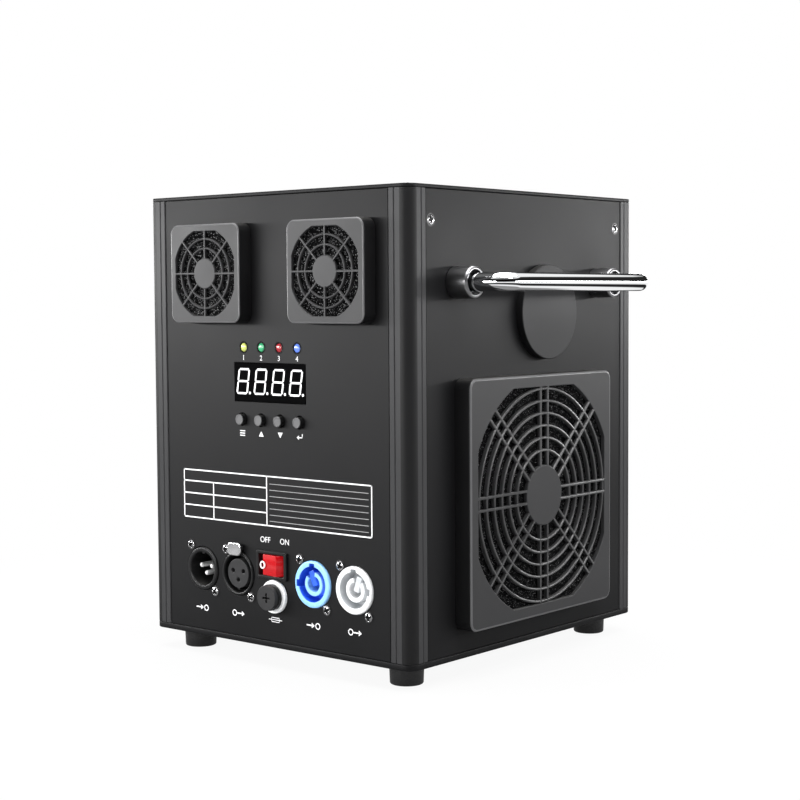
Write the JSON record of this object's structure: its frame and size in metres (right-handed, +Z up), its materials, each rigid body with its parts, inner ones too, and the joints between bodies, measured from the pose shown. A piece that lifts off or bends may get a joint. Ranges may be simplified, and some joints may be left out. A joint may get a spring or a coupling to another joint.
{
  "type": "cold spark machine",
  "caption": "Box-shaped spark effect unit on rubber feet, with filtered fans, plug sockets, a display, side handles, a top nozzle and a lidded granule hopper.",
  "frame": {"origin": "on the ground, under the middle of the whole object's box", "axes": "+Z up; the control panel faces -Y; the large fan's guard is on the +X side"},
  "size_m": [0.256, 0.2084, 0.26],
  "materials": {
    "painted_sheet": "satin black powder coat on sheet metal",
    "painted_extrusion": "satin dark grey coat on an extrusion",
    "guard_plastic": "moulded dark grey plastic",
    "filter_foam": "open-cell black foam",
    "fan_plastic": "moulded black plastic",
    "foot_rubber": "smooth black rubber",
    "chrome": "polished chrome plate",
    "black_chrome": "polished black chrome plate",
    "bright_steel": "plain bright steel",
    "black_plastic": "moulded black plastic",
    "display_window": "polished dark window",
    "circuit_board": "green circuit board",
    "blue_plastic": "moulded blue plastic",
    "light_plastic": "moulded light grey plastic",
    "red_plastic": "clear red plastic",
    "lamp_yellow_green": "tinted lamp lens",
    "lamp_green": "tinted lamp lens",
    "lamp_red": "tinted lamp lens",
    "lamp_blue": "tinted lamp lens",
    "heater_ceramic": "ceramic heater bands, as matt as fired clay",
    "cast_aluminium": "plain cast aluminium"
  },
  "bodies": {
    "housing": {"top_cover": "painted_sheet", "base_plate": "painted_sheet", "control_panel": "painted_sheet", "right_panel": "painted_sheet", "left_panel": "painted_sheet", "rear_panel": "painted_sheet", "corner_post_rear_right": "painted_extrusion", "corner_post_rear_left": "painted_extrusion", "corner_post_front_left": "painted_extrusion", "corner_post_front_right": "painted_extrusion", "foot_front_left": "foot_rubber", "foot_front_right": "foot_rubber", "foot_rear_left": "foot_rubber", "foot_rear_right": "foot_rubber", "left_fan_frame": "fan_plastic", "left_filter_guard": "guard_plastic", "left_filter_foam": "filter_foam", "right_fan_frame": "fan_plastic", "right_filter_guard": "guard_plastic", "right_filter_foam": "filter_foam", "side_fan_frame": "fan_plastic", "side_filter_guard": "guard_plastic", "side_filter_foam": "filter_foam", "main_board": "circuit_board", "display_window": "display_window", "status_lamp_1": "lamp_yellow_green", "status_lamp_2": "lamp_green", "status_lamp_3": "lamp_red", "status_lamp_4": "lamp_blue", "data_in_socket": "black_plastic", "data_out_socket": "black_plastic", "power_in_socket": "blue_plastic", "power_out_socket": "light_plastic", "switch_body": "black_plastic", "fuse_holder": "light_plastic", "right_handle_bar": "chrome", "left_handle_bar": "chrome", "right_handle_boss_front": "black_chrome", "right_handle_boss_rear": "black_chrome", "left_handle_boss_front": "black_chrome", "left_handle_boss_rear": "black_chrome", "side_disc": "black_plastic", "nozzle": "bright_steel", "heating_core": "heater_ceramic", "hopper": "bright_steel", "feed_unit": "cast_aluminium", "blower_housing": "black_plastic"},
    "left_fan_rotor": {"left_fan_rotor": "fan_plastic"},
    "right_fan_rotor": {"right_fan_rotor": "fan_plastic"},
    "side_fan_rotor": {"side_fan_rotor": "fan_plastic"},
    "button_1": {"button_1": "black_plastic"},
    "button_2": {"button_2": "black_plastic"},
    "button_3": {"button_3": "black_plastic"},
    "button_4": {"button_4": "black_plastic"},
    "release_latch": {"data_out_latch": "bright_steel"},
    "rocker": {"switch_rocker": "red_plastic"},
    "fuse_cap": {"fuse_cap": "black_plastic"},
    "hopper_lid": {"hopper_lid": "painted_sheet"},
    "feed_screw": {"feed_screw": "bright_steel"},
    "blower_impeller": {"blower_impeller": "fan_plastic"}
  },
  "joints": [
    {"name": "left_fan_spin", "type": "hinge", "parent": "housing", "child": "left_fan_rotor", "pos_m": [-0.0403, -0.0862, 0.2063], "axis": [0, 1, 0], "continuous": true},
    {"name": "right_fan_spin", "type": "hinge", "parent": "housing", "child": "right_fan_rotor", "pos_m": [0.0455, -0.0862, 0.2063], "axis": [0, 1, 0], "continuous": true},
    {"name": "side_fan_spin", "type": "hinge", "parent": "housing", "child": "side_fan_rotor", "pos_m": [0.078, 0.0028, 0.0891], "axis": [1, 0, 0], "continuous": true},
    {"name": "feed_screw_turn", "type": "hinge", "parent": "housing", "child": "feed_screw", "pos_m": [-0.042, 0.0502, 0.138], "axis": [-0.6743, 0.7385, 0], "continuous": true},
    {"name": "blower_spin", "type": "hinge", "parent": "housing", "child": "blower_impeller", "pos_m": [-0.028, 0.0042, 0.0622], "axis": [0, 1, 0], "continuous": true},
    {"name": "button_1_press", "type": "slide", "parent": "housing", "child": "button_1", "axis": [0, 1, 0], "range_m": [0, 0.001], "stiffness_N_per_m": 600, "springref_m": -0.001},
    {"name": "button_2_press", "type": "slide", "parent": "housing", "child": "button_2", "axis": [0, 1, 0], "range_m": [0, 0.001], "stiffness_N_per_m": 600, "springref_m": -0.001},
    {"name": "button_3_press", "type": "slide", "parent": "housing", "child": "button_3", "axis": [0, 1, 0], "range_m": [0, 0.001], "stiffness_N_per_m": 600, "springref_m": -0.001},
    {"name": "button_4_press", "type": "slide", "parent": "housing", "child": "button_4", "axis": [0, 1, 0], "range_m": [0, 0.001], "stiffness_N_per_m": 600, "springref_m": -0.001},
    {"name": "latch_press", "type": "slide", "parent": "housing", "child": "release_latch", "axis": [0, 1, 0], "range_m": [0, 0.0012], "stiffness_N_per_m": 800, "springref_m": -0.001},
    {"name": "rocker_tilt", "type": "hinge", "parent": "housing", "child": "rocker", "pos_m": [-0.0008, -0.0928, 0.0542], "axis": [0, 0, 1], "range_deg": [0, 16]},
    {"name": "fuse_cap_draw", "type": "slide", "parent": "housing", "child": "fuse_cap", "axis": [0, -1, 0], "range_m": [0, 0.03]},
    {"name": "hopper_lid_swing", "type": "hinge", "parent": "housing", "child": "hopper_lid", "pos_m": [-0.042, 0.0807, 0.2524], "axis": [-1, 0, 0], "range_deg": [0, 110]}
  ]
}
